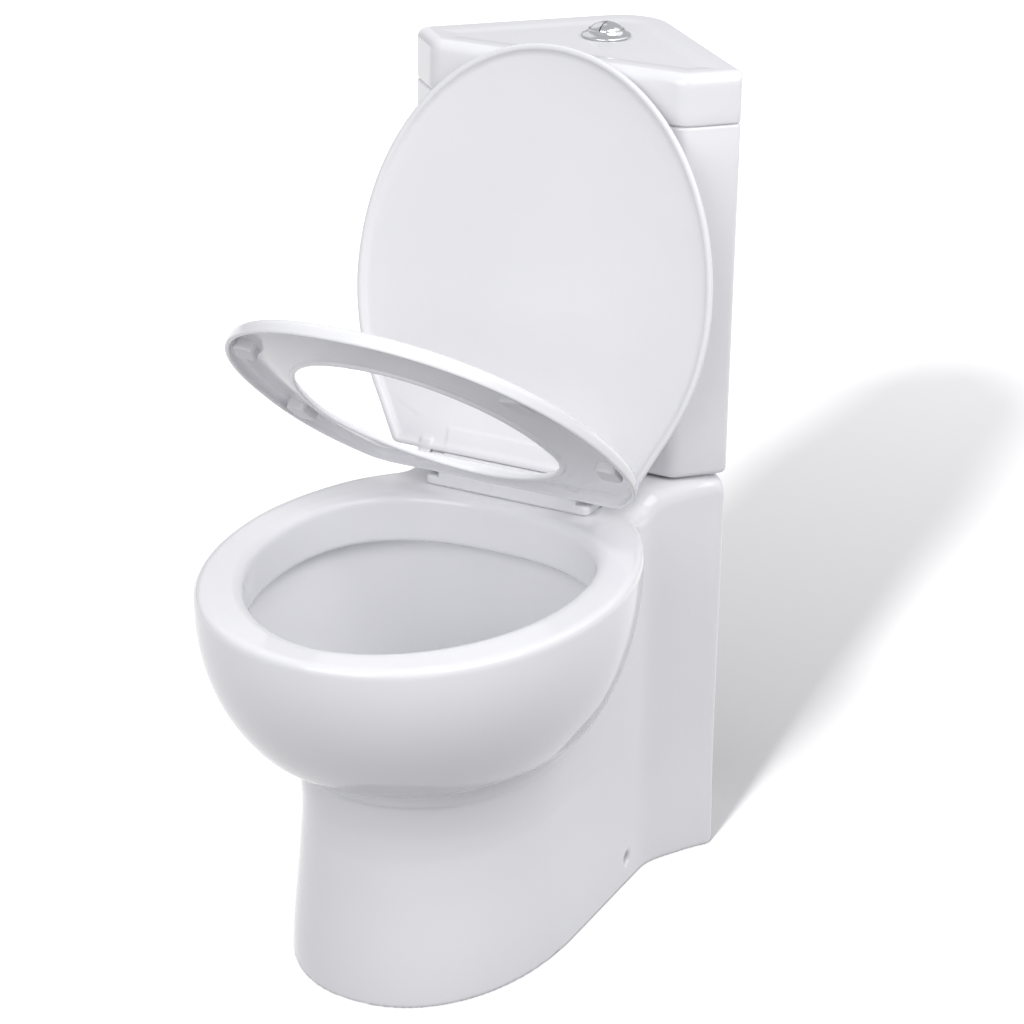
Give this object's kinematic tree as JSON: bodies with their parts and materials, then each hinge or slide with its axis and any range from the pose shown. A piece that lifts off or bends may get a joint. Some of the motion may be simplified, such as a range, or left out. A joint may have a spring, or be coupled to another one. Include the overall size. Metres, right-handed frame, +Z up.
{
  "type": "corner toilet",
  "caption": "Close-coupled corner toilet: egg-shaped pan on a pedestal, five-sided cistern that fits into a right-angled corner, hinged seat and cover, split push button.",
  "frame": {"origin": "the point on the floor where the two walls of the room corner meet", "axes": "+Z up from the floor, -Y the way a person on the seat faces, +X towards the right wall as seen from the front; the walls lie at 45 degrees to X and Y"},
  "size_m": [0.378, 0.6866, 0.8022],
  "materials": {
    "pan": "white glaze",
    "cistern": "white glaze",
    "cistern_lid": "white glaze",
    "seat": "moulded, glossy",
    "hinge_plastic": "moulded, glossy",
    "bush": "moulded",
    "buffer": "soft, white",
    "pin_steel": "plain",
    "rubber_black": "moulded",
    "nut_plastic": "moulded",
    "chrome": "polished",
    "spring_steel": "wire",
    "valve_white": "moulded",
    "valve_blue": "moulded",
    "valve_grey": "moulded",
    "brass": "turned"
  },
  "bodies": {
    "pan_and_cistern": {"pan": "pan", "pan_foot": "pan", "cistern": "cistern", "hinge_bar": "hinge_plastic", "seat_studs": "pin_steel", "seat_stud_washers": "rubber_black", "seat_stud_nuts": "nut_plastic", "flush_valve_base": "valve_white", "flush_valve_tower": "valve_blue", "flush_valve_washer": "rubber_black", "flush_valve_back_nut": "nut_plastic", "coupling_gasket": "rubber_black", "coupling_bolts": "brass", "bolt_rubber_washers": "rubber_black", "bolt_steel_washers": "pin_steel", "coupling_wing_nuts": "brass", "fill_valve_column": "valve_white", "fill_valve_washer": "rubber_black", "fill_valve_back_nut": "nut_plastic", "fill_valve_head": "valve_grey", "lever_pin": "pin_steel"},
    "seat": {"seat_ring": "seat", "seat_bushes": "bush", "seat_buffers": "buffer"},
    "cover_pins": {"hinge_pins": "pin_steel"},
    "cover": {"seat_cover": "seat", "cover_bushes": "bush"},
    "lid": {"cistern_lid": "cistern_lid", "button_bezel": "chrome", "button_back_nut": "nut_plastic", "half_flush_spring": "spring_steel", "full_flush_spring": "spring_steel"},
    "half_button": {"half_flush_button": "chrome", "half_flush_rod": "valve_white"},
    "full_button": {"full_flush_button": "chrome", "full_flush_rod": "valve_white"},
    "flush_stem": {"overflow_tube": "valve_grey", "flush_seal": "rubber_black"},
    "float": {"float_cup": "valve_blue", "float_rod": "brass"},
    "lever": {"float_lever": "valve_grey"}
  },
  "joints": [
    {"name": "seat_hinge", "type": "hinge", "parent": "pan_and_cistern", "child": "seat", "pos_m": [0, -0.29, 0.405], "axis": [-1, 0, 0], "range_deg": [-38.4, 56.1]},
    {"name": "cover_pin_turn", "type": "hinge", "parent": "pan_and_cistern", "child": "cover_pins", "pos_m": [0, -0.29, 0.405], "axis": [-1, 0, 0], "range_deg": [-50, 0]},
    {"name": "cover_hinge", "type": "hinge", "parent": "cover_pins", "child": "cover", "pos_m": [0, -0.29, 0.405], "axis": [-1, 0, 0], "range_deg": [-50.51, 0]},
    {"name": "lid_lift", "type": "slide", "parent": "pan_and_cistern", "child": "lid", "axis": [0, 0, 1], "range_m": [0, 0.12]},
    {"name": "half_button_press", "type": "slide", "parent": "lid", "child": "half_button", "axis": [0, 0, 1], "range_m": [-0.005, 0], "stiffness_N_per_m": 300, "springref_m": 0.004, "deforming": ["half_flush_spring"]},
    {"name": "full_button_press", "type": "slide", "parent": "lid", "child": "full_button", "axis": [0, 0, 1], "range_m": [-0.005, 0], "stiffness_N_per_m": 300, "springref_m": 0.004, "deforming": ["full_flush_spring"]},
    {"name": "stem_lift", "type": "slide", "parent": "pan_and_cistern", "child": "flush_stem", "axis": [0, 0, 1], "range_m": [0, 0.022]},
    {"name": "float_slide", "type": "slide", "parent": "pan_and_cistern", "child": "float", "axis": [0, 0, 1], "range_m": [-0.009, 0]},
    {"name": "lever_turn", "type": "hinge", "parent": "pan_and_cistern", "child": "lever", "pos_m": [0.098, -0.158, 0.707], "axis": [1, 0, 0], "range_deg": [0, 24.2]}
  ],
  "couplings": [
    {"joint": "stem_lift", "follows": "full_button_press", "ratio": -4.4},
    {"joint": "lever_turn", "follows": "float_slide", "rad_per_m": -46.8}
  ]
}
